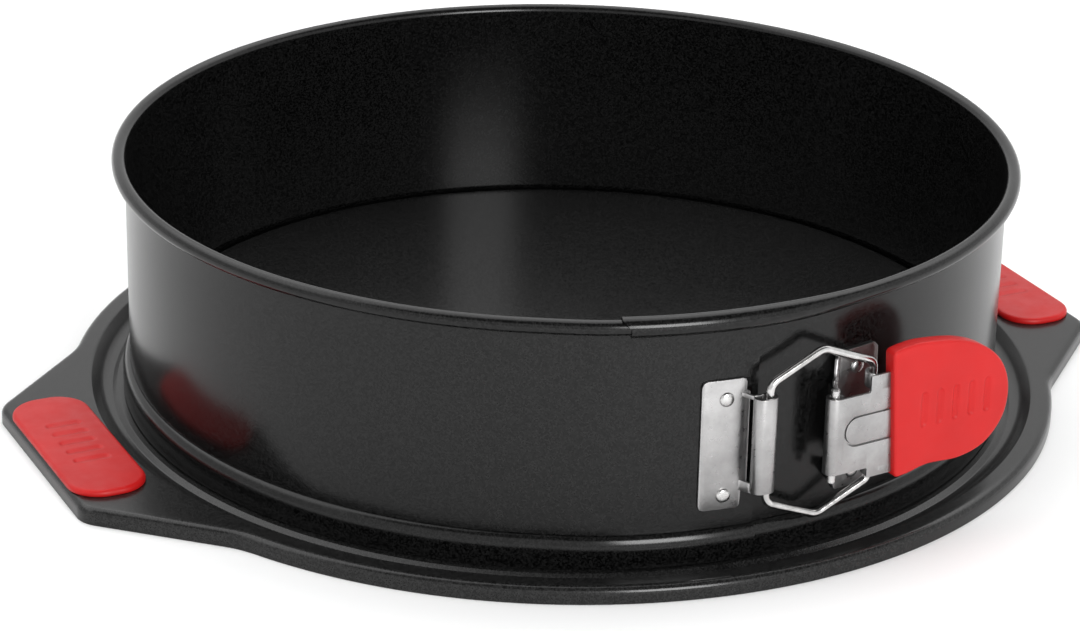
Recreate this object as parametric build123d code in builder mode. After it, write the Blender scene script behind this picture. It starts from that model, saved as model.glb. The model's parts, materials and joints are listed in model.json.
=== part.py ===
"""Springform pan: a baking tray base with a drip channel, and a band that a toggle latch opens.

Millimetres.  The origin is the middle of the base on the table, +Z is up, +X runs through the
right-hand handle and the latch is on the -Y side.  Angles are polar angles about Z, in degrees.
"""

import math
import os

from build123d import *

os.makedirs("parts", exist_ok=True)

# ---- driving dimensions -------------------------------------------------------------------------
PAN_RADIUS = 130.0            # inside of the band
BAND_SHEET = 0.4              # thickness of the band's sheet
BAND_FOOT_Z = 2.7             # lower edge of the band, just above the ledge
BEAD_TOP_Z = 11.6             # the band steps outward below this height
BEAD_SHOULDER_Z = 7.8
BEAD_STEP = 2.2
RIM_CENTRE_Z = 73.8           # middle of the rolled rim
RIM_ROLL = 2.12               # outer radius of the rolled rim
RIM_ROLL_TURN = 290           # how far round the sheet is rolled, in degrees

LAP_START = -109.0            # where the right-hand end of the band begins, inside the lap
LAP_END = -92.8               # where the left-hand end of the band stops, outside the lap
LAP_STEP = 0.85               # how far the outer layer stands outside the inner one
JOGGLE_START = -110.3         # the short sector where the left-hand end steps outward
JOGGLE_END = -109.75
TONGUE_ROLL = 2.9             # the larger rim that wraps round the left-hand end's rim
TONGUE_END = -92.3
TONGUE_ROLL_TURN = 270
SPLIT_GAP = 0.13              # angle between two pieces of the band, 0.3 mm

TRAY_SHEET = 0.8
FLOOR_Z = 11.7                # top of the raised baking floor
FLOOR_RADIUS = 129.2
LEDGE_Z = 2.2
LEDGE_RADIUS = 134.4
CHANNEL_Z = 1.2
CHANNEL_INNER = 136.0
CHANNEL_OUTER = 139.2
TRAY_TOP_Z = 5.0              # the flat margin and the handles
MARGIN_INNER = 142.4
MARGIN_LIP = (0.2, 0.6)       # the channel's edge starts this far inside it and laps this far over
TRAY_RADIUS = 148.6
SKIRT_ROUND = 1.7
CHANNEL_ROUNDS = (1.4, 1.2, 0.8, 1.2, 1.6, 0.8)

HANDLE_REACH = 166.2          # from the middle to a handle's straight edge
HANDLE_HALF_EDGE = 37.0
HANDLE_ROOT = (124.3, 76.0)   # a point on the handle's slanting side, inside the round
HANDLE_CORNER = 9.0
HANDLE_BLEND = 34.0

PAD_CENTRE = 154.4
PAD_LENGTH = 67.0
PAD_WIDTH = 22.8
PAD_NECK_INSET = 3.0
PAD_LIP_INSET = 1.5           # the flange below the handle
PAD_TOP_Z = 7.3
PAD_UNDER_Z = 2.4
PAD_EDGE = 1.0

KEEPER_START = -100.0
KEEPER_END = -93.9
KEEPER_SHEET = 0.9
KEEPER_LOW_Z = 17.5
KEEPER_HIGH_Z = 55.6
KEEPER_CORNER = 1.8
BARREL_ANGLE = -93.0
BARREL_RADIUS = 137.0         # distance of the barrel from the pan's axis
BARREL_WIDTH = 7.0
BARREL_DEPTH = 5.0
BARREL_SHEET = 0.8
BARREL_LOW_Z = 22.5
BARREL_HIGH_Z = 51.5
WIRE_SEAT = 1.25              # the wire sits this far right of the barrel's middle

WIRE_RADIUS = 1.15
BAIL_MIDDLE_Z = 37.8
BAIL_PEAK = 24.8              # the two outer corners, above and below the middle
BAIL_SHOULDER = 17.6          # where the arms leave the leg and the pivots
BAIL_PEAK_REACH = 16.6
BAIL_BENDS = (3.5, 4.5, 2.3)
BAIL_END_GAP = 0.35           # the open pivot: the wire stops just outside the lever's ears

RIVET_HEAD = 2.1
RIVET_HEAD_HEIGHT = 0.9
RIVET_SHANK = 1.3
RIVET_DOME = 2.9              # radius of the domed head
RIVET_HOLE = 4.0              # length of the cut that makes a rivet's hole
KEEPER_RIVET_ANGLE = -96.9
KEEPER_RIVET_HEIGHTS = (50.3, 21.8)
BRACKET_RIVET_ANGLE = -78.7
BRACKET_RIVET_HEIGHTS = (52.0, 20.5)
FIT_GAP = 0.02

FULCRUM_RADIUS = 138.5
FULCRUM_ANGLE = -84.3
PIN_RADIUS = 1.6
PIN_CHAMFER = 0.3
RUNNING_GAP = 0.08
LEVER_SHEET = 0.8
LEVER_FACE = 2.5              # outer radius of the lever's curl, and its plate's outer face
LEVER_LOW_Z = 26.0
LEVER_HIGH_Z = 48.5
WING_START = 11.4
WING_LOW_Z = 23.0
WING_HIGH_Z = 53.3
WING_END = 21.0
TANG_LOW_Z = 28.0
TANG_HIGH_Z = 49.0
TANG_END = 45.0
EAR_DEPTH = 4.2
EAR_END = 16.6
OVERLAP = 1.0                 # neighbouring lengths of the lever run into each other this far
BAIL_PIVOT = (13.9, 2.1)      # from the fulcrum: along the lever, and inward
PRESSED_START = 3.9
PRESSED_HEIGHT = 9.0
PRESSED_Z = 38.0
PRESSED_LINE = 0.5
PRESSED_DEPTH = 0.3

GRIP_THICKNESS = 4.8
GRIP_FRONT = 4.5              # its outer face, in front of the fulcrum
GRIP_CURVE = (                # along the lever and up, from the fulcrum
    (18.6, 55.0),
    (35.0, 58.8),
    (50.5, 54.0),
    (59.8, 39.0),
    (52.5, 23.4),
    (33.0, 22.6),
    (18.6, 19.6),
)
GRIP_EDGE = 1.1

BRACKET_START = -81.2
BRACKET_END = -75.4
BRACKET_LOW_Z = 16.0
BRACKET_HIGH_Z = 57.5
BRACKET_SHEET = 0.9
LUG_LOW_Z = 20.0
LUG_HIGH_Z = 54.6
LUG_GAP = 0.45
WEB_ANGLE = -80.9             # where the web leaves the plate
KNUCKLE_RADIUS = 2.5


# ---- places -------------------------------------------------------------------------------------
def on_circle(radius, angle, height=0.0):
    """The point at a radius and a polar angle about Z."""
    turn = math.radians(angle)
    return Vector(radius * math.cos(turn), radius * math.sin(turn), height)


def tangent_plane(radius, angle, height=0.0):
    """A level plane on a circle about Z: its x runs along the circle, its y points inward."""
    along = on_circle(1, angle + 90)
    return Plane(origin=on_circle(radius, angle, height), x_dir=along, z_dir=(0, 0, 1))


def standing_plane(radius, angle, height=0.0):
    """A standing plane on a circle about Z: x along the circle, y up, facing outward."""
    along = on_circle(1, angle + 90)
    return Plane(origin=on_circle(radius, angle, height), x_dir=along, z_dir=on_circle(1, angle))


def radial_plane(angle):
    """The standing half-plane at a polar angle: x is the distance from Z, y is up."""
    return Plane(origin=(0, 0, 0), x_dir=on_circle(1, angle), z_dir=on_circle(1, angle - 90))


fulcrum = tangent_plane(FULCRUM_RADIUS, FULCRUM_ANGLE)
lever_plane = standing_plane(FULCRUM_RADIUS, FULCRUM_ANGLE)
barrel_plane = tangent_plane(BARREL_RADIUS, BARREL_ANGLE)
wire_leg = barrel_plane.from_local_coords(Vector(WIRE_SEAT, 0, 0))
bail_pivot = fulcrum.from_local_coords(Vector(BAIL_PIVOT[0], BAIL_PIVOT[1], 0))
bail_reach = (bail_pivot - wire_leg).length
bail_along = (bail_pivot - wire_leg).normalized()
bail_plane = Plane(origin=wire_leg, x_dir=bail_along, z_dir=bail_along.cross(Vector(0, 0, 1)))


# ---- the band -----------------------------------------------------------------------------------
def band_sector(radius, roll, roll_turn, start, end):
    """A sector of the band: foot, bead, wall and rolled rim, as a bent strip of sheet."""
    with BuildPart() as sector:
        with BuildSketch(radial_plane(start)):
            with BuildLine():
                Polyline(
                    (radius + BEAD_STEP, BAND_FOOT_Z),
                    (radius + BEAD_STEP, BEAD_SHOULDER_Z),
                    (radius, BEAD_TOP_Z),
                    (radius, RIM_CENTRE_Z),
                )
                CenterArc((radius + roll, RIM_CENTRE_Z), roll, 180, -roll_turn)
                offset(amount=BAND_SHEET, side=Side.RIGHT)
            make_face()
        revolve(axis=Axis.Z, revolution_arc=end - start)
    return sector.part


outer_layer = PAN_RADIUS + LAP_STEP
back_wall = band_sector(PAN_RADIUS, RIM_ROLL, RIM_ROLL_TURN, 0, 180)
left_wall = band_sector(PAN_RADIUS, RIM_ROLL, RIM_ROLL_TURN, SPLIT_GAP - 180, JOGGLE_START)
left_lap = band_sector(outer_layer, RIM_ROLL, RIM_ROLL_TURN, JOGGLE_END, LAP_END)
right_lap = band_sector(PAN_RADIUS, TONGUE_ROLL, TONGUE_ROLL_TURN, LAP_START, TONGUE_END)
right_wall = band_sector(PAN_RADIUS, RIM_ROLL, RIM_ROLL_TURN, TONGUE_END, -SPLIT_GAP)

with BuildPart() as ring_back:
    add(back_wall)

with BuildPart() as ring_left:
    add(left_wall)
    add(left_lap)
    # the joggle, where the end of the band steps outward by the thickness of the inner layer
    with BuildSketch(radial_plane(JOGGLE_START)):
        with BuildLine():
            Polyline(
                (PAN_RADIUS, RIM_CENTRE_Z),
                (PAN_RADIUS, BEAD_TOP_Z),
                (PAN_RADIUS + BEAD_STEP, BEAD_SHOULDER_Z),
                (PAN_RADIUS + BEAD_STEP, BAND_FOOT_Z),
                (outer_layer + BEAD_STEP + BAND_SHEET, BAND_FOOT_Z),
                (outer_layer + BEAD_STEP + BAND_SHEET, BEAD_SHOULDER_Z),
                (outer_layer + BAND_SHEET, BEAD_TOP_Z),
                (outer_layer + BAND_SHEET, RIM_CENTRE_Z),
                close=True,
            )
        make_face()
        with Locations((PAN_RADIUS + RIM_ROLL, RIM_CENTRE_Z), (outer_layer + RIM_ROLL, RIM_CENTRE_Z)):
            Circle(RIM_ROLL)
    revolve(axis=Axis.Z, revolution_arc=JOGGLE_END - JOGGLE_START)
    # holes for the keeper's rivets
    for height in KEEPER_RIVET_HEIGHTS:
        with Locations(standing_plane(outer_layer, KEEPER_RIVET_ANGLE, height)):
            Cylinder(RIVET_SHANK + FIT_GAP, RIVET_HOLE, mode=Mode.SUBTRACT)

with BuildPart() as ring_right:
    add(right_lap)
    add(right_wall)
    # holes for the bracket's rivets
    for height in BRACKET_RIVET_HEIGHTS:
        with Locations(standing_plane(PAN_RADIUS, BRACKET_RIVET_ANGLE, height)):
            Cylinder(RIVET_SHANK + FIT_GAP, RIVET_HOLE, mode=Mode.SUBTRACT)


# ---- the base -----------------------------------------------------------------------------------
with BuildPart() as base_tray:
    # the flat margin, both handles and the skirt that stiffens their edge
    with BuildSketch() as outline:
        Circle(TRAY_RADIUS)
        for side in (1, -1):
            with BuildLine():
                Polyline(
                    (side * HANDLE_ROOT[0], -HANDLE_ROOT[1]),
                    (side * HANDLE_REACH, -HANDLE_HALF_EDGE),
                    (side * HANDLE_REACH, HANDLE_HALF_EDGE),
                    (side * HANDLE_ROOT[0], HANDLE_ROOT[1]),
                    close=True,
                )
            make_face()
        far_corners = outline.vertices().filter_by(lambda v: abs(v.X) > HANDLE_REACH - 1)
        fillet(far_corners, radius=HANDLE_CORNER)
        blend_corners = outline.vertices().filter_by(
            lambda v: abs(math.hypot(v.X, v.Y) - TRAY_RADIUS) < 0.01 and abs(v.Y) > 10
        )
        fillet(blend_corners, radius=HANDLE_BLEND)
    extrude(amount=TRAY_TOP_Z)
    fillet(base_tray.faces().sort_by(Axis.Z)[-1].outer_wire().edges(), radius=SKIRT_ROUND)
    with BuildSketch() as under:
        add(outline.sketch)
        offset(amount=-TRAY_SHEET)
    extrude(amount=TRAY_TOP_Z - TRAY_SHEET, mode=Mode.SUBTRACT)
    Cylinder(MARGIN_INNER, 2 * TRAY_TOP_Z, mode=Mode.SUBTRACT)
    # the raised baking floor, the ledge under the band and the drip channel
    with BuildSketch(Plane.XZ):
        with BuildLine():
            FilletPolyline(
                (0, FLOOR_Z),
                (FLOOR_RADIUS, FLOOR_Z),
                (FLOOR_RADIUS, LEDGE_Z),
                (LEDGE_RADIUS, LEDGE_Z),
                (CHANNEL_INNER, CHANNEL_Z),
                (CHANNEL_OUTER, CHANNEL_Z),
                (MARGIN_INNER - MARGIN_LIP[0], TRAY_TOP_Z),
                (MARGIN_INNER + MARGIN_LIP[1], TRAY_TOP_Z),
                radius=CHANNEL_ROUNDS,
            )
            offset(amount=TRAY_SHEET, side=Side.RIGHT)
        make_face()
    revolve(axis=Axis.Z)
    # a stadium hole in each handle for its silicone pad
    with BuildSketch():
        with Locations((PAD_CENTRE, 0), (-PAD_CENTRE, 0)):
            SlotOverall(PAD_LENGTH - 2 * PAD_NECK_INSET, PAD_WIDTH - 2 * PAD_NECK_INSET, rotation=90)
    extrude(amount=2 * TRAY_TOP_Z, mode=Mode.SUBTRACT)


def handle_pad(middle_x):
    """A silicone pad: a domed flange above the handle, a neck in its hole and a flange below."""
    with BuildPart() as pad:
        with BuildSketch(Plane.XY.offset(TRAY_TOP_Z)):
            with Locations((middle_x, 0)):
                SlotOverall(PAD_LENGTH, PAD_WIDTH, rotation=90)
        extrude(amount=PAD_TOP_Z - TRAY_TOP_Z)
        fillet(pad.faces().sort_by(Axis.Z)[-1].edges(), radius=PAD_EDGE)
        with BuildSketch(Plane.XY.offset(PAD_UNDER_Z)):
            with Locations((middle_x, 0)):
                SlotOverall(PAD_LENGTH - 2 * PAD_NECK_INSET, PAD_WIDTH - 2 * PAD_NECK_INSET, rotation=90)
        extrude(amount=TRAY_TOP_Z - PAD_UNDER_Z)
        with BuildSketch(Plane.XY.offset(PAD_UNDER_Z)):
            with Locations((middle_x, 0)):
                SlotOverall(PAD_LENGTH - 2 * PAD_LIP_INSET, PAD_WIDTH - 2 * PAD_LIP_INSET, rotation=90)
        extrude(amount=TRAY_TOP_Z - TRAY_SHEET - PAD_UNDER_Z)
    return pad


left_handle_pad = handle_pad(-PAD_CENTRE)
right_handle_pad = handle_pad(PAD_CENTRE)


# ---- the keeper, on the band's left-hand end ----------------------------------------------------
keeper_seat = outer_layer + BAND_SHEET + FIT_GAP
with BuildPart() as keeper_plate:
    with BuildSketch(radial_plane(KEEPER_START)):
        with Locations((keeper_seat, KEEPER_LOW_Z)):
            Rectangle(KEEPER_SHEET, KEEPER_HIGH_Z - KEEPER_LOW_Z, align=(Align.MIN, Align.MIN))
    revolve(axis=Axis.Z, revolution_arc=KEEPER_END - KEEPER_START)
    chamfer(keeper_plate.edges().filter_by(lambda e: e.length < 1.5 * KEEPER_SHEET), KEEPER_CORNER)
    # the flattened barrel that holds the wire, and the bend that joins it to the plate
    with BuildSketch(barrel_plane.offset(BARREL_LOW_Z)):
        SlotOverall(BARREL_WIDTH, BARREL_DEPTH)
        with Locations((BARREL_SHEET / 2 - BARREL_WIDTH / 2, 0)):
            Rectangle(BARREL_SHEET, BARREL_RADIUS - keeper_seat, align=(Align.CENTER, Align.MIN))
        SlotOverall(BARREL_WIDTH - 2 * BARREL_SHEET, BARREL_DEPTH - 2 * BARREL_SHEET, mode=Mode.SUBTRACT)
    extrude(amount=BARREL_HIGH_Z - BARREL_LOW_Z)
    for height in KEEPER_RIVET_HEIGHTS:
        with Locations(standing_plane(keeper_seat, KEEPER_RIVET_ANGLE, height)):
            Cylinder(RIVET_SHANK + FIT_GAP, RIVET_HOLE, mode=Mode.SUBTRACT)


def rivet_column(tail, seat, angle, heights):
    """Round-headed rivets at one polar angle, from a tail radius out to the seat of their heads."""
    with BuildPart() as column:
        for height in heights:
            with BuildSketch(radial_plane(angle)):
                with BuildLine():
                    Polyline(
                        (seat + RIVET_HEAD_HEIGHT, height),
                        (tail, height),
                        (tail, height + RIVET_SHANK),
                        (seat, height + RIVET_SHANK),
                        (seat, height + RIVET_HEAD),
                    )
                    RadiusArc((seat, height + RIVET_HEAD), (seat + RIVET_HEAD_HEIGHT, height), RIVET_DOME)
                make_face()
            revolve(axis=Axis(on_circle(0, 0, height), on_circle(1, angle)))
    return column


keeper_rivets = rivet_column(
    outer_layer, keeper_seat + KEEPER_SHEET + FIT_GAP, KEEPER_RIVET_ANGLE, KEEPER_RIVET_HEIGHTS
)


# ---- the wire bail, in the upright plane through its two pivots ---------------------------------
upper_arm = (
    (0, BAIL_MIDDLE_Z),
    (0, BAIL_MIDDLE_Z + BAIL_SHOULDER),
    (BAIL_PEAK_REACH, BAIL_MIDDLE_Z + BAIL_PEAK),
    (bail_reach, BAIL_MIDDLE_Z + BAIL_SHOULDER),
    (bail_reach, WING_HIGH_Z + BAIL_END_GAP),
)
lower_arm = (
    (0, BAIL_MIDDLE_Z),
    (0, BAIL_MIDDLE_Z - BAIL_SHOULDER),
    (BAIL_PEAK_REACH, BAIL_MIDDLE_Z - BAIL_PEAK),
    (bail_reach, BAIL_MIDDLE_Z - BAIL_SHOULDER),
    (bail_reach, WING_LOW_Z - BAIL_END_GAP),
)
with BuildPart() as wire_bail:
    for arm in (upper_arm, lower_arm):
        with BuildLine(bail_plane) as run:
            FilletPolyline(*arm, radius=BAIL_BENDS)
        with BuildSketch(Plane(origin=run.line @ 0, z_dir=run.line % 0)):
            Circle(WIRE_RADIUS)
        sweep(path=run.line)


# ---- the bracket and its pin, on the band's right-hand end --------------------------------------
bracket_seat = PAN_RADIUS + BAND_SHEET + FIT_GAP
bracket_edge = on_circle(bracket_seat + BRACKET_SHEET / 2, WEB_ANGLE)
web_start = fulcrum.to_local_coords(bracket_edge)
web_length = web_start.length
web_turn = math.degrees(math.atan2(web_start.Y, web_start.X))
with BuildPart() as latch_bracket:
    with BuildSketch(radial_plane(BRACKET_START)):
        with Locations((bracket_seat, BRACKET_LOW_Z)):
            Rectangle(BRACKET_SHEET, BRACKET_HIGH_Z - BRACKET_LOW_Z, align=(Align.MIN, Align.MIN))
    revolve(axis=Axis.Z, revolution_arc=BRACKET_END - BRACKET_START)
    chamfer(latch_bracket.edges().filter_by(lambda e: e.length < 1.5 * BRACKET_SHEET), KEEPER_CORNER)
    # the web that stands out from the plate, and a knuckle above and below the lever's curl
    with BuildSketch(fulcrum.offset(LUG_LOW_Z)):
        with Locations(Rot(Z=web_turn)):
            Rectangle(web_length, BRACKET_SHEET, align=(Align.MIN, Align.CENTER))
        Circle(KNUCKLE_RADIUS)
    extrude(amount=LUG_HIGH_Z - LUG_LOW_Z)
    with BuildSketch(fulcrum.offset(LEVER_LOW_Z - LUG_GAP)):
        Circle(LEVER_FACE + LUG_GAP)
    extrude(amount=LEVER_HIGH_Z - LEVER_LOW_Z + 2 * LUG_GAP, mode=Mode.SUBTRACT)
    with BuildSketch(fulcrum.offset(LUG_LOW_Z)):
        Circle(PIN_RADIUS + FIT_GAP)
    extrude(amount=LUG_HIGH_Z - LUG_LOW_Z, mode=Mode.SUBTRACT)
    for height in BRACKET_RIVET_HEIGHTS:
        with Locations(standing_plane(bracket_seat, BRACKET_RIVET_ANGLE, height)):
            Cylinder(RIVET_SHANK + FIT_GAP, RIVET_HOLE, mode=Mode.SUBTRACT)

bracket_rivets = rivet_column(
    PAN_RADIUS, bracket_seat + BRACKET_SHEET + FIT_GAP, BRACKET_RIVET_ANGLE, BRACKET_RIVET_HEIGHTS
)

with BuildPart() as lever_pivot_pin:
    with BuildSketch(fulcrum.offset(LUG_LOW_Z)):
        Circle(PIN_RADIUS)
    extrude(amount=LUG_HIGH_Z - LUG_LOW_Z)
    chamfer(lever_pivot_pin.edges().filter_by(GeomType.CIRCLE), PIN_CHAMFER)


# ---- the lever: x along it, y up, its outer face LEVER_FACE in front of the fulcrum --------------
with BuildPart() as latch_lever:
    with BuildSketch(lever_plane.offset(LEVER_FACE - LEVER_SHEET)):
        with Locations((0, LEVER_LOW_Z)):
            Rectangle(WING_START + OVERLAP, LEVER_HIGH_Z - LEVER_LOW_Z, align=(Align.MIN, Align.MIN))
        with Locations((WING_START, WING_LOW_Z)):
            Rectangle(WING_END - WING_START, WING_HIGH_Z - WING_LOW_Z, align=(Align.MIN, Align.MIN))
        with Locations((WING_END - OVERLAP, TANG_LOW_Z)):
            Rectangle(
                TANG_END - WING_END + OVERLAP, TANG_HIGH_Z - TANG_LOW_Z, align=(Align.MIN, Align.MIN)
            )
    extrude(amount=LEVER_SHEET)
    # the curl that turns on the pin
    with BuildSketch(fulcrum.offset(LEVER_LOW_Z)):
        Circle(LEVER_FACE)
        Circle(PIN_RADIUS + RUNNING_GAP, mode=Mode.SUBTRACT)
    extrude(amount=LEVER_HIGH_Z - LEVER_LOW_Z)
    # the two ears that hold the ends of the bail
    for ear_z in (WING_LOW_Z, WING_HIGH_Z - LEVER_SHEET):
        with BuildSketch(fulcrum.offset(ear_z)):
            with Locations((WING_START, -LEVER_FACE)):
                Rectangle(EAR_END - WING_START, LEVER_FACE + EAR_DEPTH, align=(Align.MIN, Align.MIN))
            with Locations(BAIL_PIVOT):
                Circle(WIRE_RADIUS + RUNNING_GAP, mode=Mode.SUBTRACT)
        extrude(amount=LEVER_SHEET)
    # the pressed outline on the face
    with BuildSketch(lever_plane.offset(LEVER_FACE)):
        with Locations((PRESSED_START, PRESSED_Z)):
            SlotOverall(2 * WING_END, PRESSED_HEIGHT, align=(Align.MIN, Align.CENTER))
            with Locations((PRESSED_LINE, 0)):
                SlotOverall(
                    2 * (WING_END - PRESSED_LINE),
                    PRESSED_HEIGHT - 2 * PRESSED_LINE,
                    align=(Align.MIN, Align.CENTER),
                    mode=Mode.SUBTRACT,
                )
    extrude(amount=-PRESSED_DEPTH, mode=Mode.SUBTRACT)

with BuildPart() as lever_grip:
    with BuildSketch(lever_plane.offset(GRIP_FRONT - GRIP_THICKNESS)):
        with BuildLine():
            Spline(*GRIP_CURVE)
            Line(GRIP_CURVE[-1], GRIP_CURVE[0])
        make_face()
    extrude(amount=GRIP_THICKNESS)
    grip_faces = lever_grip.faces().filter_by(GeomType.PLANE).sort_by(SortBy.AREA)[-2:]
    fillet(grip_faces.edges(), radius=GRIP_EDGE)
    # the pocket that the lever's wing and tang fill
    with BuildSketch(lever_plane.offset(LEVER_FACE - LEVER_SHEET - FIT_GAP)):
        with Locations((0, WING_LOW_Z - FIT_GAP)):
            Rectangle(
                WING_END + FIT_GAP, WING_HIGH_Z - WING_LOW_Z + 2 * FIT_GAP, align=(Align.MIN, Align.MIN)
            )
        with Locations((0, TANG_LOW_Z - FIT_GAP)):
            Rectangle(
                TANG_END + FIT_GAP, TANG_HIGH_Z - TANG_LOW_Z + 2 * FIT_GAP, align=(Align.MIN, Align.MIN)
            )
    extrude(amount=LEVER_SHEET + 2 * FIT_GAP, mode=Mode.SUBTRACT)


# ---- one file for each piece --------------------------------------------------------------------
pieces = {
    "base_tray": base_tray,
    "left_handle_pad": left_handle_pad,
    "right_handle_pad": right_handle_pad,
    "ring_back": ring_back,
    "ring_left": ring_left,
    "ring_right": ring_right,
    "keeper_plate": keeper_plate,
    "keeper_rivets": keeper_rivets,
    "wire_bail": wire_bail,
    "latch_bracket": latch_bracket,
    "bracket_rivets": bracket_rivets,
    "lever_pivot_pin": lever_pivot_pin,
    "latch_lever": latch_lever,
    "lever_grip": lever_grip,
}
for name, piece in pieces.items():
    piece.part.label = name
    export_step(piece.part, f"parts/{name}.step")
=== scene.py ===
"""A springform pan on a pale floor, seen three-quarters from the latch side.

The pan's lengths are millimetres until a mesh is made. The camera's, the floor's and the lights' are
metres, and so are the frame's own.
"""

import json
import math

import bmesh
import bpy
import numpy as np
from mathutils import Matrix, Vector


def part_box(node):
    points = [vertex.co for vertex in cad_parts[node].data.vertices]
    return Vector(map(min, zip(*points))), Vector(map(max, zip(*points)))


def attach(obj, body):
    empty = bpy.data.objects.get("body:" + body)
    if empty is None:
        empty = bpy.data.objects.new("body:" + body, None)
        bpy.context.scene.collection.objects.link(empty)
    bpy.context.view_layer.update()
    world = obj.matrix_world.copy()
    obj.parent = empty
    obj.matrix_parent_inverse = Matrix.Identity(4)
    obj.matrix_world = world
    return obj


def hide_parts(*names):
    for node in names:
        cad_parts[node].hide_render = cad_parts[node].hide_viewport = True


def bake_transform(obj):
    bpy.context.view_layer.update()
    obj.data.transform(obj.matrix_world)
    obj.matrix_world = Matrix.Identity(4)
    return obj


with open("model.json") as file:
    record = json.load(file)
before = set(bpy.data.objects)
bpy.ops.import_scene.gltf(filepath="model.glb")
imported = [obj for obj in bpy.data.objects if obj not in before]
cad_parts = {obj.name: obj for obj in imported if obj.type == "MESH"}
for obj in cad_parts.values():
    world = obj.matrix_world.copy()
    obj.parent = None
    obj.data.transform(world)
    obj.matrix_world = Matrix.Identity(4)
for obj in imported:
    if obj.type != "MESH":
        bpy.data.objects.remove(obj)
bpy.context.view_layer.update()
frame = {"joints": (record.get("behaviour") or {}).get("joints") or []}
MM = 0.001
RANGE_SOCKETS = ("From Min", "From Max", "To Min", "To Max")
joints = {joint["name"]: joint for joint in frame["joints"]}


# ---- the camera, at the photograph's viewing angle ------------------------------------------------
VIEW_AZIMUTH = -26.6          # degrees round from the latch side
VIEW_ELEVATION = 24.19
VIEW_DISTANCE = 1.0730        # metres from the middle of the base
AIM_PITCH = 23.2              # the camera looks this far down, a little above the middle
AIM_YAW = 0.396
AIM_ROLL = 1.213
SENSOR = 36.0
LENS = 117.08


def make_camera():
    data = bpy.data.cameras.new("camera")
    data.sensor_width = SENSOR
    data.lens = LENS
    camera = bpy.data.objects.new("camera", data)
    bpy.context.scene.collection.objects.link(camera)
    azimuth, elevation = math.radians(VIEW_AZIMUTH), math.radians(VIEW_ELEVATION)
    camera.location = VIEW_DISTANCE * Vector(
        (
            math.sin(azimuth) * math.cos(elevation),
            -math.cos(azimuth) * math.cos(elevation),
            math.sin(elevation),
        )
    )
    turn = Matrix.Rotation(math.radians(VIEW_AZIMUTH + AIM_YAW), 3, "Z")
    tilt = Matrix.Rotation(math.radians(90 - AIM_PITCH), 3, "X")
    roll = Matrix.Rotation(math.radians(AIM_ROLL), 3, "Z")
    camera.rotation_euler = (turn @ tilt @ roll).to_euler()
    bpy.context.scene.camera = camera


# ---- the floor and the lights ---------------------------------------------------------------------
WHITE = (1.0, 1.0, 1.0, 1)
WORLD_BACK, WORLD_BACK_HIGH = 0.92, 2.6          # how bright the back of the room is, low and high
WORLD_FRONT, WORLD_FRONT_HIGH = 1.05, 0.15
WORLD_BACK_RISE, WORLD_FRONT_RISE = (0.42, 0.70), (0.56, 0.70)   # Z of the directions between the two
WORLD_SEAM = (-0.15, 0.15)                       # Y of the directions between the front and the back
FLOOR_HALF = 6.0
FLOOR_TONE = (0.86, 0.86, 0.86, 1)
FLOOR_GLOW = 0.05
KEY_PLACE, KEY_SIZE, KEY_POWER = (-0.05, -1.45, 0.62), (0.5, 0.65), 15
KEY_TARGET = (0, 0, 0.03)


def make_key_light():
    data = bpy.data.lights.new("key", "AREA")
    data.shape = "RECTANGLE"
    data.size, data.size_y = KEY_SIZE
    data.energy = KEY_POWER
    light = bpy.data.objects.new("key", data)
    light.location = KEY_PLACE
    aim = Vector(KEY_TARGET) - Vector(KEY_PLACE)
    light.rotation_euler = aim.to_track_quat("-Z", "Y").to_euler()
    bpy.context.scene.collection.objects.link(light)


def make_world():
    """A white room: brightest high at the back, and dark high over the front."""
    world = bpy.data.worlds.new("studio")
    world.use_nodes = True
    tree = world.node_tree
    split = tree.nodes.new("ShaderNodeSeparateXYZ")
    direction = tree.nodes.new("ShaderNodeTexCoord").outputs["Generated"]
    tree.links.new(direction, split.inputs["Vector"])

    def spread(value, *limits):
        """value eased from the first two limits to the last two, which are numbers or outputs."""
        node = tree.nodes.new("ShaderNodeMapRange")
        node.interpolation_type = "SMOOTHSTEP"
        for socket, number in zip(RANGE_SOCKETS, limits):
            if isinstance(number, float):
                node.inputs[socket].default_value = number
            else:
                tree.links.new(number, node.inputs[socket])
        tree.links.new(value, node.inputs["Value"])
        return node.outputs["Result"]

    front = spread(split.outputs["Z"], *WORLD_FRONT_RISE, WORLD_FRONT, WORLD_FRONT_HIGH)
    back = spread(split.outputs["Z"], *WORLD_BACK_RISE, WORLD_BACK, WORLD_BACK_HIGH)
    strength = spread(split.outputs["Y"], *WORLD_SEAM, front, back)
    tree.links.new(strength, tree.nodes["Background"].inputs["Strength"])
    tree.nodes["Background"].inputs["Color"].default_value = WHITE
    return world


def make_stage():
    bpy.context.scene.world = make_world()
    bpy.context.scene.view_settings.view_transform = "Standard"

    mesh = bpy.data.meshes.new("floor")
    corners = [(FLOOR_HALF * x, FLOOR_HALF * y, 0) for x, y in ((-1, -1), (1, -1), (1, 1), (-1, 1))]
    mesh.from_pydata(corners, [], [(0, 1, 2, 3)])
    floor = bpy.data.objects.new("floor", mesh)
    bpy.context.scene.collection.objects.link(floor)
    material = bpy.data.materials.new("floor_white")
    material.use_nodes = True
    shader = material.node_tree.nodes["Principled BSDF"]
    shader.inputs["Base Color"].default_value = FLOOR_TONE
    shader.inputs["Roughness"].default_value = 0.7
    shader.inputs["Specular IOR Level"].default_value = 0.2
    shader.inputs["Emission Color"].default_value = WHITE
    shader.inputs["Emission Strength"].default_value = FLOOR_GLOW
    floor.data.materials.append(material)

    make_key_light()


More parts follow.
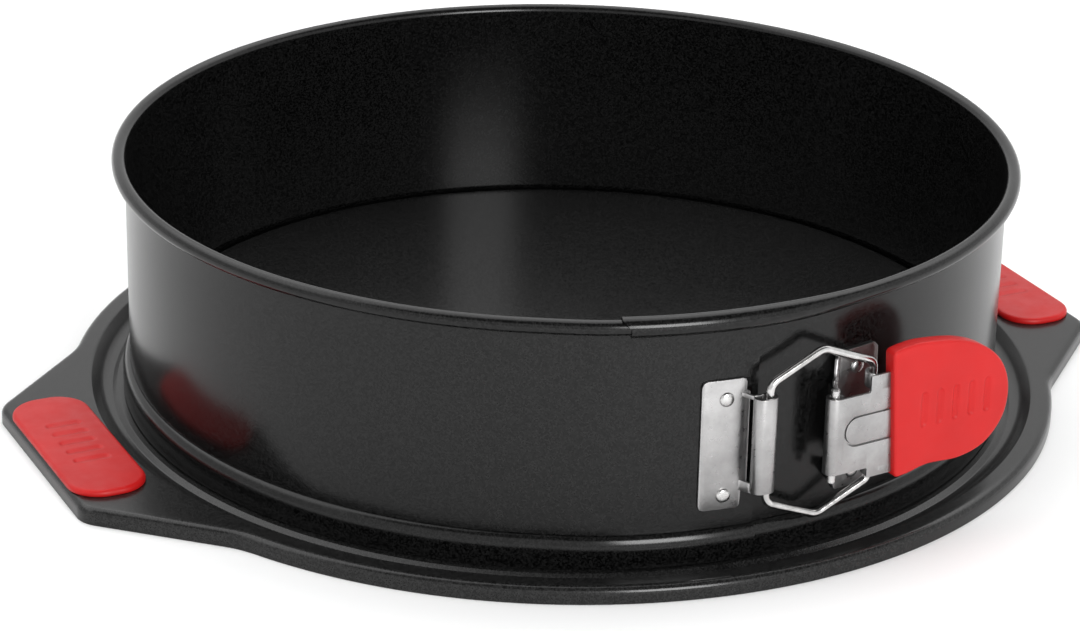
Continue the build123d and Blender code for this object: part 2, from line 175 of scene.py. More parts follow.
# ---- materials ------------------------------------------------------------------------------------
class Finish:
    """A material with short ways to add the nodes that its pattern needs."""

    def __init__(self, name, roughness, metallic=0.0, **sockets):
        self.material = bpy.data.materials.new(name)
        self.material.use_nodes = True
        self.tree = self.material.node_tree
        self.shader = self.tree.nodes["Principled BSDF"]
        self.shader.inputs["Roughness"].default_value = roughness
        self.shader.inputs["Metallic"].default_value = metallic
        for socket, value in sockets.items():
            self.shader.inputs[socket.replace("_", " ")].default_value = value
        self.place = self.tree.nodes.new("ShaderNodeTexCoord").outputs["Object"]

    def link(self, output, socket):
        self.tree.links.new(output, socket)

    def noise(self, scale, detail=3.0, roughness=0.5, stretch=(1, 1, 1)):
        """Noise, with scale in features for each metre."""
        mapping = self.tree.nodes.new("ShaderNodeMapping")
        mapping.inputs["Scale"].default_value = stretch
        self.link(self.place, mapping.inputs["Vector"])
        node = self.tree.nodes.new("ShaderNodeTexNoise")
        node.inputs["Scale"].default_value = scale
        node.inputs["Detail"].default_value = detail
        node.inputs["Roughness"].default_value = roughness
        self.link(mapping.outputs["Vector"], node.inputs["Vector"])
        return node.outputs["Fac"]

    def grains(self, scale):
        """Grains of random tone, with scale of them in a metre."""
        node = self.tree.nodes.new("ShaderNodeTexVoronoi")
        node.inputs["Scale"].default_value = scale
        self.link(self.place, node.inputs["Vector"])
        return node.outputs["Color"]

    def ramp(self, value, stops):
        """A colour ramp through (position, colour) stops."""
        node = self.tree.nodes.new("ShaderNodeValToRGB")
        elements = node.color_ramp.elements
        while len(elements) < len(stops):
            elements.new(0.5)
        for element, (position, colour) in zip(elements, stops):
            element.position = position
            element.color = (*colour, 1)
        self.link(value, node.inputs["Fac"])
        return node.outputs["Color"]

    def spread(self, value, *limits):
        """value stretched from between the first two limits to between the last two."""
        node = self.tree.nodes.new("ShaderNodeMapRange")
        for socket, number in zip(RANGE_SOCKETS, limits):
            node.inputs[socket].default_value = number
        self.link(value, node.inputs["Value"])
        return node.outputs["Result"]

    def mix(self, factor, colour_a, colour_b):
        node = self.tree.nodes.new("ShaderNodeMix")
        node.data_type = "RGBA"
        self.link(factor, node.inputs["Factor"])
        for socket, colour in ((node.inputs[6], colour_a), (node.inputs[7], colour_b)):
            if isinstance(colour, tuple):
                socket.default_value = (*colour, 1)
            else:
                self.link(colour, socket)
        return node.outputs[2]

    def bump(self, heights):
        """Bumps from (height, depth in millimetres) pairs, one on top of the other."""
        normal = None
        for height, depth in heights:
            node = self.tree.nodes.new("ShaderNodeBump")
            node.inputs["Distance"].default_value = depth * MM
            node.inputs["Strength"].default_value = 1.0
            self.link(height, node.inputs["Height"])
            if normal is not None:
                self.link(normal, node.inputs["Normal"])
            normal = node.outputs["Normal"]
        self.link(normal, self.shader.inputs["Normal"])

    def colour(self, output):
        self.link(output, self.shader.inputs["Base Color"])

    def roughness(self, output):
        self.link(output, self.shader.inputs["Roughness"])


GRAINS_PER_METRE = 2400


def coated_steel(name, dark, light, shine, smooth, rough):
    """Steel under a sprayed non-stick coating: a fine speckle of grains and faint handling marks."""
    finish = Finish(name, roughness=rough, Specular_IOR_Level=shine)
    grain = finish.grains(GRAINS_PER_METRE)
    finish.colour(finish.ramp(grain, [(0.25, dark), (0.75, light)]))
    finish.roughness(finish.spread(finish.noise(14, detail=3.0), 0.3, 0.7, smooth, rough))
    finish.bump([(grain, 0.0006), (finish.noise(60, detail=2.0), 0.010)])
    return finish.material


def silicone(name, dark, light):
    """Matt silicone, a little darker and rougher in patches."""
    finish = Finish(name, roughness=0.45, Specular_IOR_Level=0.3)
    cloud = finish.noise(45, detail=3.0)
    finish.colour(finish.ramp(cloud, [(0.3, dark), (0.7, light)]))
    finish.roughness(finish.spread(finish.noise(220, detail=2.0), 0.3, 0.7, 0.42, 0.56))
    finish.bump([(finish.noise(1800, detail=2.0), 0.012), (cloud, 0.05)])
    return finish.material


def stamped_steel(name):
    """Satin stainless sheet with rolling lines, clouding and small scuffs."""
    finish = Finish(name, roughness=0.3, metallic=1.0)
    lines = finish.noise(900, detail=2.0, stretch=(1, 1, 0.05))
    cloud = finish.noise(110, detail=4.0, roughness=0.6)
    scuff = finish.noise(420, detail=5.0, roughness=0.7)
    tone = finish.ramp(cloud, [(0.3, (0.31, 0.306, 0.306)), (0.7, (0.43, 0.425, 0.425))])
    finish.colour(finish.mix(finish.spread(scuff, 0.62, 0.72, 0.0, 0.5), tone, (0.26, 0.25, 0.25)))
    finish.roughness(finish.spread(scuff, 0.35, 0.7, 0.26, 0.42))
    finish.bump([(lines, 0.006), (cloud, 0.03)])
    return finish.material


def bright_steel(name, smooth, rough, dent):
    """Bright wire or a tumbled rivet, with faint marks."""
    finish = Finish(name, roughness=smooth, metallic=1.0)
    marks = finish.noise(500, detail=3.0)
    finish.colour(finish.ramp(marks, [(0.3, (0.46, 0.455, 0.45)), (0.7, (0.62, 0.615, 0.61))]))
    finish.roughness(finish.spread(marks, 0.3, 0.7, smooth, rough))
    finish.bump([(marks, dent)])
    return finish.material


# ---- making meshes --------------------------------------------------------------------------------
def new_object(name, points, faces, material, sharp_angle=35):
    """An object from points in millimetres, smooth but for edges sharper than sharp_angle."""
    mesh = bpy.data.meshes.new(name)
    mesh.from_pydata([tuple(MM * float(x) for x in point) for point in points], [], faces)
    work = bmesh.new()
    work.from_mesh(mesh)
    bmesh.ops.remove_doubles(work, verts=work.verts, dist=1e-7)
    bmesh.ops.recalc_face_normals(work, faces=work.faces)
    work.to_mesh(mesh)
    work.free()
    mesh.shade_smooth()
    mesh.set_sharp_from_angle(angle=math.radians(sharp_angle))
    mesh.materials.append(material)
    made = bpy.data.objects.new(name, mesh)
    bpy.context.scene.collection.objects.link(made)
    return made


def joined(parts, name):
    """Several meshes as one piece."""
    first = parts[0]
    with bpy.context.temp_override(active_object=first, selected_editable_objects=parts):
        bpy.ops.object.join()
    first.name = name
    return first


def ring_faces(rows, columns):
    """Quads between closed rings of points that are counted ring by ring."""
    faces = []
    for i in range(rows - 1):
        for j in range(columns):
            a, b = i * columns, (i + 1) * columns
            k = (j + 1) % columns
            faces.append((a + j, a + k, b + k, b + j))
    return faces


def capped_faces(rows, columns):
    """The faces of a stack of closed rings, with its first and last ring filled in."""
    faces = ring_faces(rows, columns)
    faces.append(tuple(range(columns))[::-1])
    faces.append(tuple(range((rows - 1) * columns, rows * columns)))
    return faces


def smoothstep(value, low, high):
    share = np.clip((value - low) / (high - low), 0, 1)
    return share * share * (3 - 2 * share)


def rounded(corners, steps=8):
    """Points along a run or loop of corners in the plane. Each is its two places and its radius."""
    spots = [np.array(corner[:2], float) for corner in corners]
    points = []
    for i, corner in enumerate(spots):
        radius = corners[i][2]
        if radius <= 0:
            points.append(corner)
            continue
        before, after = spots[i - 1] - corner, spots[(i + 1) % len(spots)] - corner
        before, after = before / np.linalg.norm(before), after / np.linalg.norm(after)
        turn = math.pi - math.acos(float(np.clip(before @ after, -1, 1)))
        if turn < 1e-3:
            points.append(corner)
            continue
        reach = radius * math.tan(turn / 2)
        centre = corner + (before + after) / np.linalg.norm(before + after) * math.hypot(radius, reach)
        start, end = corner + before * reach - centre, corner + after * reach - centre
        for k in range(steps + 1):
            share = k / steps
            arm = start * math.sin((1 - share) * turn) + end * math.sin(share * turn)
            points.append(centre + arm / math.sin(turn))
    return np.array(points)


def offset_path(path, distance):
    """The path moved to its right-hand side."""
    ahead = np.gradient(path, axis=0)
    ahead /= np.linalg.norm(ahead, axis=1)[:, None]
    return path + distance * np.stack([ahead[:, 1], -ahead[:, 0]], axis=1)


# ---- the band -------------------------------------------------------------------------------------
rim_low, rim_high = (1000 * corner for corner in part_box("ring_back"))
PAN_RADIUS = 130.0
BAND_SHEET = 0.4
BAND_FOOT_Z = rim_low.z
BEAD_SHOULDER_Z, BEAD_HIGH_Z = 7.8, 11.6
BEAD_STEP = 2.2
BEAD_LIP = 0.1                # the bead's curve ends this far outside the wall
BEAD_CREASE, WALL_START = 0.25, 1.5              # heights over the bead
RIM_ROLL = 2.12
RIM_TURN, TONGUE_TURN = 290, 270                 # degrees that the sheet is rolled round
RIM_CENTRE_Z = rim_high.z - RIM_ROLL
LAP_START, LAP_END = -109.8, -92.8
LAP_STEP = 0.85
JOGGLE_START, JOGGLE_END = -120.0, -110.5
TONGUE_ROLL = 2.9
TONGUE_FADE = (-92.0, -76.0)
TONGUE_SLANT = 1.0            # degrees that the tongue's lower lip starts after its top
TONGUE_LIP = 0.6              # the lip is the part further out than this share of the roll
BAND_STEP = 0.75              # degrees between sections


def band_section(layer, roll):
    """The inner and the outer line of the band's section: distance from the axis, and height."""
    swell = np.linspace(0, math.pi / 2, 14)
    wall_z = np.linspace(BEAD_HIGH_Z + WALL_START, RIM_CENTRE_Z, 6)[1:-1]
    openness = (roll - RIM_ROLL) / (TONGUE_ROLL - RIM_ROLL)
    roll_turn = RIM_TURN - (RIM_TURN - TONGUE_TURN) * openness
    turns = np.radians(180 - np.linspace(0, roll_turn, 34))
    path = np.array(
        [
            (PAN_RADIUS + BEAD_STEP, BAND_FOOT_Z),
            (PAN_RADIUS + BEAD_STEP, BEAD_SHOULDER_Z - 2),
            *zip(
                PAN_RADIUS + BEAD_LIP + (BEAD_STEP - BEAD_LIP) * np.cos(swell),
                BEAD_SHOULDER_Z + (BEAD_HIGH_Z - BEAD_SHOULDER_Z) * np.sin(swell),
            ),
            (PAN_RADIUS, BEAD_HIGH_Z + BEAD_CREASE),
            (PAN_RADIUS, BEAD_HIGH_Z + WALL_START),
            *((PAN_RADIUS, z) for z in wall_z),
            *zip(PAN_RADIUS + roll * (1 + np.cos(turns)), RIM_CENTRE_Z + roll * np.sin(turns)),
        ]
    )
    path[:, 0] += layer
    return path, offset_path(path, BAND_SHEET)


def band_half(name, first, last, layer_at, roll_at, material, slant=0.0):
    """Half of the band, from one polar angle to another."""
    angles = np.linspace(first, last, int(abs(last - first) / BAND_STEP) + 1)
    sections = []
    for angle in angles:
        roll = roll_at(angle)
        inner, outer = band_section(layer_at(angle), roll)
        radius, height = np.concatenate([inner, outer[::-1]]).T
        low_down = smoothstep(-height, -(RIM_CENTRE_Z + roll), -RIM_CENTRE_Z)
        on_lip = radius > PAN_RADIUS + roll * TONGUE_LIP
        turn = np.radians(angle + slant * np.exp(-abs(angle - first)) * low_down * on_lip)
        sections.append(np.stack([radius * np.cos(turn), radius * np.sin(turn), height], axis=1))
    columns = len(sections[0])
    faces = ring_faces(len(sections), columns)
    # each end of the strip is closed with quads from its inner to its outer line
    for base in (0, (len(sections) - 1) * columns):
        for j in range(columns // 2 - 1):
            far = base + columns - 1 - j
            faces.append((base + j, base + j + 1, far - 1, far))
    return new_object(name, np.concatenate(sections), faces, material, sharp_angle=50)


def make_band(material):
    left = band_half(
        "band_left_half",
        360 + LAP_END,
        90,
        lambda angle: LAP_STEP * smoothstep(angle - 360, JOGGLE_START, JOGGLE_END),
        lambda angle: RIM_ROLL,
        material,
    )
    right = band_half(
        "band_right_half",
        LAP_START,
        90,
        lambda angle: 0.0,
        lambda angle: TONGUE_ROLL - (TONGUE_ROLL - RIM_ROLL) * smoothstep(angle, *TONGUE_FADE),
        material,
        slant=TONGUE_SLANT,
    )
    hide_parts("ring_left", "ring_back")
    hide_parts("ring_right")
    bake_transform(left)
    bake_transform(right)


# ---- the base -------------------------------------------------------------------------------------
tray_high = 1000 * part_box("base_tray")[1]
TRAY_REACH = tray_high.x
TRAY_RADIUS = tray_high.y
FLOOR_Z = tray_high.z
TRAY_SHEET = 0.8
FLOOR_RADIUS = 129.2
LEDGE_Z, LEDGE_RADIUS = 2.2, 134.4
CHANNEL_Z, CHANNEL_INNER, CHANNEL_OUTER = 1.2, 136.0, 138.6
MARGIN_Z, MARGIN_INNER = 5.0, 142.3
MARGIN_START = MARGIN_INNER + 0.8
TRAY_PROFILE = (               # distance from the axis, height and the corner's radius
    (1.5, FLOOR_Z, 0),
    (60, FLOOR_Z, 0),
    (120, FLOOR_Z, 0),
    (FLOOR_RADIUS, FLOOR_Z, 1.4),
    (FLOOR_RADIUS, LEDGE_Z, 0.8),
    (LEDGE_RADIUS, LEDGE_Z, 0.5),
    (CHANNEL_INNER, CHANNEL_Z, 0.9),
    (CHANNEL_OUTER, CHANNEL_Z, 4.0),
    (MARGIN_INNER, MARGIN_Z, 1.1),
    (MARGIN_START, MARGIN_Z, 0),
)
SKIRT_ROUND = 2.2
SKIRT_EDGE = 0.15
SKIRT_PROFILE = (              # distance in from the edge, and height, down the skirt and up behind it
    (0, 1.6),
    (0, SKIRT_EDGE),
    (SKIRT_EDGE, 0),
    (TRAY_SHEET - SKIRT_EDGE, 0),
    (TRAY_SHEET, SKIRT_EDGE),
    (TRAY_SHEET, 3.0),
    (SKIRT_ROUND, MARGIN_Z - TRAY_SHEET),
)
HANDLE_HALF_EDGE = 37.0
HANDLE_ROOT = (124.3, 76.0)
HANDLE_CORNER = 9.0
HANDLE_BLEND = 34.0


def quarter_outline():
    """Points and outward normals of the base's edge, from the right-hand handle round to +Y."""
    corner = np.array([TRAY_REACH, HANDLE_HALF_EDGE])
    side = np.array(HANDLE_ROOT) - corner
    side /= np.linalg.norm(side)
    out = np.array([side[1], -side[0]])
    out_angle = math.atan2(out[1], out[0])
    corner_reach = HANDLE_CORNER * math.tan(out_angle / 2)
    corner_centre = np.array([TRAY_REACH - HANDLE_CORNER, HANDLE_HALF_EDGE - corner_reach])
    height = out @ corner + HANDLE_BLEND
    along = -math.sqrt((TRAY_RADIUS + HANDLE_BLEND) ** 2 - height**2)
    blend_centre = height * out + along * side
    meet_angle = math.atan2(blend_centre[1], blend_centre[0])
    points = [((TRAY_REACH, y), (1, 0)) for y in np.linspace(0, corner_centre[1], 24)[:-1]]

    def arc(centre, radius, start, end, count, sign=1):
        for angle in np.linspace(start, end, count):
            arm = np.array([math.cos(angle), math.sin(angle)])
            points.append((centre + sign * radius * arm, arm))

    arc(corner_centre, HANDLE_CORNER, 0, out_angle, 14)
    line_start, line_end = corner_centre + HANDLE_CORNER * out, blend_centre - HANDLE_BLEND * out
    for share in np.linspace(0, 1, 14)[1:-1]:
        points.append((line_start + share * (line_end - line_start), out))
    arc(blend_centre, HANDLE_BLEND, out_angle, meet_angle, 12, sign=-1)
    arc(np.zeros(2), TRAY_RADIUS, meet_angle, math.pi / 2, 80)
    return np.array([p for p, _ in points], float), np.array([n for _, n in points], float)


def make_tray(material):
    quarter, quarter_out = quarter_outline()
    loops, outs = [], []
    for flip_x, flip_y in ((1, 1), (-1, 1), (-1, -1), (1, -1)):
        mirror = np.array([flip_x, flip_y])
        order = slice(None) if flip_x * flip_y > 0 else slice(None, None, -1)
        loops.append((quarter * mirror)[order][:-1])
        outs.append((quarter_out * mirror)[order][:-1])
    edge, out = np.concatenate(loops), np.concatenate(outs)
    away = edge / np.linalg.norm(edge, axis=1)[:, None]

    rows = []

    def ring(spots, height):
        rows.append(np.column_stack([spots, np.full(len(spots), height)]))

    top = rounded(TRAY_PROFILE)
    for radius, height in top:
        ring(away * radius, height)
    start, lip = away * MARGIN_START, edge - SKIRT_ROUND * out
    for share in (0.25, 0.5, 0.75):
        ring(start + share * (lip - start), MARGIN_Z)
    for turn in np.linspace(0, math.pi / 2, 9):
        ring(lip + SKIRT_ROUND * math.sin(turn) * out, MARGIN_Z - SKIRT_ROUND * (1 - math.cos(turn)))
    for inset, height in SKIRT_PROFILE:
        ring(edge - inset * out, height)
    for radius, height in offset_path(top, TRAY_SHEET)[::-1]:
        ring(away * radius, height)
    faces = capped_faces(len(rows), len(edge))
    tray = new_object("tray", np.concatenate(rows), faces, material)
    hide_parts("base_tray")
    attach(tray, "base")


# ---- the silicone pads ----------------------------------------------------------------------------
def grip_mark(along, across, spacing, count, half_length, half_width):
    """How deep a row of short grooves is at a place, from 0 to 1."""
    nearest = np.clip(np.round(along / spacing), -(count // 2), count // 2)
    side = np.abs(along - nearest * spacing)
    end = np.maximum(np.abs(across) - half_length, 0)
    return 1 - smoothstep(np.hypot(side, end), half_width * 0.4, half_width)


PAD_EDGE, PAD_DOME = 1.3, 0.4
PAD_CORNER = 0.86             # the corners' radius as a share of half the width
PAD_HEM = 3.0                 # the pad laps this far over the hole in the handle
PAD_FLANGE = 1.6              # the flange under the handle is this much smaller than the pad
PAD_GROOVES = (6.2, 5, 4.2, 1.5)                 # spacing, count, half length and half width
PAD_GROOVE_DEPTH = 0.45


def make_pad(node, side, material):
    low, high = (1000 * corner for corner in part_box(node))
    middle = (low.x + high.x) / 2
    half_width, half_length = (high.x - low.x) / 2, (high.y - low.y) / 2
    corner = PAD_CORNER * half_width
    side_x, end_y = half_width - corner, half_length - corner
    # round the outline: the centre that each point swings about, and its direction from there
    outline = [(side_x, y, 0.0) for y in np.linspace(-end_y, end_y, 70)[1:-1]]
    outline += [(side_x, end_y, turn) for turn in np.linspace(0, math.pi / 2, 24)]
    outline += [(-side_x, end_y, turn) for turn in np.linspace(math.pi / 2, math.pi, 24)]
    outline += [(-side_x, y, math.pi) for y in np.linspace(end_y, -end_y, 70)[1:-1]]
    outline += [(-side_x, -end_y, turn) for turn in np.linspace(math.pi, 1.5 * math.pi, 24)]
    outline += [(side_x, -end_y, turn) for turn in np.linspace(1.5 * math.pi, 2 * math.pi, 24)]

    swing_x, swing_y, turns = np.array(outline).T
    rows = []

    def ring(radius, height, share=1.0):
        across = share * (swing_x + radius * np.cos(turns))
        along = swing_y + share * radius * np.sin(turns)
        if height is None:
            groove = PAD_GROOVE_DEPTH * grip_mark(along, across, *PAD_GROOVES)
            height = high.z - PAD_DOME * share**2 - groove
        rows.append(np.column_stack([middle + across, along, np.broadcast_to(height, len(turns))]))

    flat = corner - PAD_EDGE
    for share in np.linspace(0, 1, 27):
        ring(flat, None, share)
    for turn in np.linspace(0, math.pi / 2, 8)[1:]:
        drop = PAD_EDGE * (1 - math.cos(turn))
        ring(flat + PAD_EDGE * math.sin(turn), high.z - PAD_DOME - drop)
    under = MARGIN_Z - TRAY_SHEET
    for inset, height in (
        (0, MARGIN_Z + 0.15),
        (0.15, MARGIN_Z),
        (PAD_HEM, MARGIN_Z),
        (PAD_HEM, under),
        (PAD_FLANGE, under),
        (PAD_FLANGE, low.z + 0.5),
        (PAD_FLANGE + 0.5, low.z),
        (6, low.z),
    ):
        ring(corner - inset, height)
    ring(corner, low.z, 0.0)
    faces = ring_faces(len(rows), len(outline))
    pad = new_object(f"{side}_pad", np.concatenate(rows), faces, material, sharp_angle=60)
    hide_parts(node)
    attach(pad, "base")


# ---- sheet metal that is cut flat and then bent ---------------------------------------------------
STRAIGHT = 0.001              # a straight run's turn in degrees, small enough not to show


class PlanPath:
    """A line in plan, from runs that are each a length and a turn in degrees."""

    def __init__(self, start, heading, runs):
        self.knots = [(0.0, np.array(start, float), math.radians(heading), 0.0)]
        for length, turn in runs:
            s, point, angle, _ = self.knots[-1]
            bend = math.radians(turn) / length
            end = self.place(point, angle, bend, length)
            self.knots[-1] = (s, point, angle, bend)
            self.knots.append((s + length, end, angle + bend * length, 0.0))

    @staticmethod
    def place(point, angle, bend, run):
        """Where a run that leaves the point at an angle gets to."""
        if abs(bend) < 1e-9:
            return point + run * np.array([math.cos(angle), math.sin(angle)])
        end = angle + bend * run
        chord = np.array([math.sin(end) - math.sin(angle), math.cos(angle) - math.cos(end)])
        return point + chord / bend

    @property
    def length(self):
        return self.knots[-1][0]

    def at(self, s, left):
        """The point at a distance s along the path and a distance left of it."""
        reached = [knot for knot in self.knots if knot[0] <= s + 1e-9]
        start, point, angle, bend = reached[-1] if reached else self.knots[0]
        run = s - start
        spot = self.place(point, angle, bend, run)
        heading = angle + bend * run
        return spot + left * np.array([-math.sin(heading), math.cos(heading)])


class Seat:
    """A level frame on a circle about Z: x along the circle, y towards the middle of the pan."""

    def __init__(self, radius, angle):
        turn = math.radians(angle)
        self.origin = radius * np.array([math.cos(turn), math.sin(turn)])
        self.along = np.array([-math.sin(turn), math.cos(turn)])
        self.inward = -np.array([math.cos(turn), math.sin(turn)])

    def world(self, x, y, z):
        spot = self.origin + x * self.along + y * self.inward
        return (spot[0], spot[1], z)


def bent_sheet(name, outline, thickness, path, seat, material, bevel=0.12, step=0.45):
    """A flat blank, drawn as distance along the path and height, cut out, edged and then bent."""
    work = bmesh.new()
    ring = [work.verts.new((s, 0, z)) for s, z in outline]
    work.faces.new(ring)
    low, high = min(p[0] for p in outline), max(p[0] for p in outline)
    made = bmesh.ops.extrude_face_region(work, geom=list(work.faces))
    raised = [v for v in made["geom"] if isinstance(v, bmesh.types.BMVert)]
    bmesh.ops.translate(work, verts=raised, vec=(0, thickness, 0))
    bmesh.ops.recalc_face_normals(work, faces=work.faces)
    rims = [e for e in work.edges if abs(e.verts[0].co.y - e.verts[1].co.y) < 1e-6]
    bmesh.ops.bevel(work, geom=rims, offset=bevel, segments=2, affect="EDGES", profile=0.5)
    for cut in np.arange(low + step, high - step / 2, step):
        everything = [*work.verts, *work.edges, *work.faces]
        bmesh.ops.bisect_plane(work, geom=everything, plane_co=(cut, 0, 0), plane_no=(1, 0, 0))
    points = []
    for vertex in work.verts:
        vertex.index = len(points)
        spot = path.at(vertex.co.x, thickness / 2 - vertex.co.y)
        points.append(seat.world(spot[0], spot[1], vertex.co.z))
    faces = [tuple(v.index for v in face.verts) for face in work.faces]
    work.free()
    return new_object(name, points, faces, material, sharp_angle=40)


def lathe(name, base, axis, profile, material, steps=32):
    """A turned piece: (radius, distance along the axis) points, turned about the axis."""
    axis = Vector(axis).normalized()
    side = axis.orthogonal().normalized()
    other = axis.cross(side)
    rows = []
    for radius, reach in profile:
        for k in range(steps):
            turn = 2 * math.pi * k / steps
            arm = side * math.cos(turn) + other * math.sin(turn)
            rows.append(Vector(base) + axis * reach + arm * radius)
    return new_object(name, rows, capped_faces(len(profile), steps), material)


RIVET_RADIUS, RIVET_HEIGHT, RIVET_SHANK = 2.1, 0.95, 1.3
RIVET_DEPTH = 1.2


def rivets(name, node, body, angle, face, heights, material):
    """Round-headed rivets on a face at a distance from the axis."""
    turn = math.radians(angle)
    out = Vector((math.cos(turn), math.sin(turn), 0))
    profile = [(RIVET_SHANK, -RIVET_DEPTH), (RIVET_SHANK, 0), (RIVET_RADIUS - 0.1, 0.0)]
    for rise in np.linspace(0, math.pi / 2, 9)[:-1]:
        profile.append((RIVET_RADIUS * math.cos(rise), RIVET_HEIGHT * math.sin(rise) ** 0.8))
    profile.append((0.12, RIVET_HEIGHT))
    parts = []
    for k, height in enumerate(heights):
        foot = out * face + Vector((0, 0, height))
        parts.append(lathe(f"{name}_{k}", foot, out, profile, material))
    piece = joined(parts, name)
    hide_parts(node)
    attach(piece, body)


# ---- the keeper -----------------------------------------------------------------------------------
KEEPER_SHEET = 0.8
KEEPER_START, KEEPER_END = -100.0, -93.9
KEEPER_LOW_Z, KEEPER_HIGH_Z = 17.6, 56.0
KEEPER_CHAMFER = 1.7
KEEPER_TUCK = (2.0, 7.0)      # the plate's last stretch and how many degrees it is pressed back
KEEPER_TUCK_BEND = 0.6
KEEPER_GAP = 0.05             # between the plate and the band
KEEPER_RIVET_ANGLE, KEEPER_RIVETS_Z = -96.9, (50.3, 21.8)
BARREL_ANGLE, BARREL_RADIUS = -93.0, 137.0
BARREL_BEND = 2.1             # radius of the barrel's ends, at the middle of the sheet
BARREL_HALF = 0.9
BARREL_LOW_Z, BARREL_HIGH_Z = 24.0, 52.0
BARREL_SEAM = 122             # degrees that the sheet goes round the barrel's left end before it stops
WEB_LOW_Z, WEB_HIGH_Z = (22.8, 25.8), (50.6, 51.8)   # the two tabs from the plate to the barrel
WEB_STEP = 62                 # degrees that the two tabs climb
WEB_BEND = 0.9
WEB_ROOT = 1.1                # degrees that they start before the plate's end
LATCH_EDGE = 0.14
OUTER_SEAT = PAN_RADIUS + LAP_STEP + BAND_SHEET
INNER_SEAT = PAN_RADIUS + BAND_SHEET


def make_keeper(material, rivet_material):
    seat = Seat(BARREL_RADIUS, BARREL_ANGLE)
    middle = OUTER_SEAT + KEEPER_SHEET / 2 + KEEPER_GAP

    def on_band(angle):
        """The place and heading, in the barrel's frame, of the plate's middle at a polar angle."""
        lag = angle - BARREL_ANGLE
        turn = math.radians(lag)
        return (middle * math.sin(turn), BARREL_RADIUS - middle * math.cos(turn)), lag

    start, heading = on_band(KEEPER_START)
    tuck_run, tuck_turn = KEEPER_TUCK
    plate_turn = KEEPER_END - KEEPER_START
    plate_run = middle * math.radians(plate_turn) - tuck_run
    tuck = [(KEEPER_TUCK_BEND, tuck_turn), (tuck_run - KEEPER_TUCK_BEND, STRAIGHT)]
    plate_path = PlanPath(start, heading, [(plate_run, plate_turn), *tuck])
    end = plate_path.length
    (tab_low, tab_low_top), (tab_high_low, tab_high) = WEB_LOW_Z, WEB_HIGH_Z
    plate_outline = rounded(
        [
            (0.0, KEEPER_LOW_Z, KEEPER_CHAMFER),
            (plate_run, KEEPER_LOW_Z, 1.0),
            (plate_run + 0.4, tab_low_top - 1.5, 0.4),
            (end, tab_low_top - 1.5, 0.5),
            (end, tab_high, 0.5),
            (plate_run + 0.9, tab_high + 0.4, 0.3),
            (plate_run + 0.9, KEEPER_HIGH_Z, 1.2),
            (0.0, KEEPER_HIGH_Z, KEEPER_CHAMFER),
        ],
        steps=2,
    )
    plate = bent_sheet(
        "keeper_flat", plate_outline, KEEPER_SHEET, plate_path, seat, material, bevel=LATCH_EDGE
    )

    root, lean = on_band(KEEPER_END - WEB_ROOT)
    off_band, level = (WEB_BEND, -WEB_STEP), (WEB_BEND, WEB_STEP - lean)
    _, spot, _, _ = PlanPath(root, lean, [off_band, level]).knots[-1]
    rise = (spot[1] - BARREL_BEND) / math.sin(math.radians(WEB_STEP - lean))
    first = [off_band, (max(rise, 0.05), STRAIGHT), level]
    web_end, spot, _, _ = PlanPath(root, lean, first).knots[-1]
    back = BARREL_HALF - spot[0]
    barrel_path = PlanPath(
        root,
        lean,
        [
            *first,
            (back, STRAIGHT),
            (math.pi * BARREL_BEND, -180),
            (2 * BARREL_HALF, STRAIGHT),
            (BARREL_BEND * math.radians(BARREL_SEAM), -BARREL_SEAM),
        ],
    )
    length = barrel_path.length
    window = web_end + 0.6 * back
    barrel_outline = rounded(
        [
            (0.0, tab_low, 0.2),
            (window, tab_low, 0.8),
            (window + 1.2, BARREL_LOW_Z, 0.5),
            (length, BARREL_LOW_Z, 1.0),
            (length, BARREL_HIGH_Z, 0.6),
            (window + 0.4, BARREL_HIGH_Z, 0.4),
            (window - 0.4, tab_high, 0.4),
            (0.0, tab_high, 0.2),
            (0.0, tab_high_low, 0.2),
            (window, tab_high_low, 0.5),
            (window, tab_low_top, 0.9),
            (0.0, tab_low_top, 0.2),
        ],
        steps=3,
    )
    barrel = bent_sheet(
        "keeper_barrel", barrel_outline, KEEPER_SHEET, barrel_path, seat, material, bevel=LATCH_EDGE
    )
    keeper = joined([plate, barrel], "keeper")
    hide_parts("keeper_plate")
    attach(keeper, "band_left")
    rivets(
        "keeper_rivet_heads",
        "keeper_rivets",
        "band_left",
        KEEPER_RIVET_ANGLE,
        OUTER_SEAT + KEEPER_SHEET,
        KEEPER_RIVETS_Z,
        rivet_material,
    )


# ---- the lever ------------------------------------------------------------------------------------
FULCRUM_RADIUS, FULCRUM_ANGLE = 138.5, -84.3
LEVER_SHEET = 0.8
CURL = 2.1                    # the curl's radius round the pin, at the middle of the sheet
CURL_TURN = 285
LEVER_LOW_Z, LEVER_HIGH_Z = 26.0, 48.5
WING_LOW_Z, WING_HIGH_Z = 23.0, 53.3
WING_START, WING_END = 10.2, 21.0
SLOT_START, SLOT_LOW_Z, SLOT_HIGH_Z = 1.9, 33.4, 42.6
BAIL_PIVOT = (13.9, 2.1)
SLOT_ROUND, SLOT_TONGUE_ROUND = 4.55, 4.0
SLOT_GAP = 0.55               # the line cut between the tongue and the rest of the face
BACKING_SHEET, BACKING_INSET, BACKING_STEP = 0.3, 0.5, 0.45
WIRE_CURL = 2.7
WIRE_CURL_START = 3.0         # where the rolled corners begin, measured from the wing's right-hand edge
lever_seat = Seat(FULCRUM_RADIUS, FULCRUM_ANGLE)


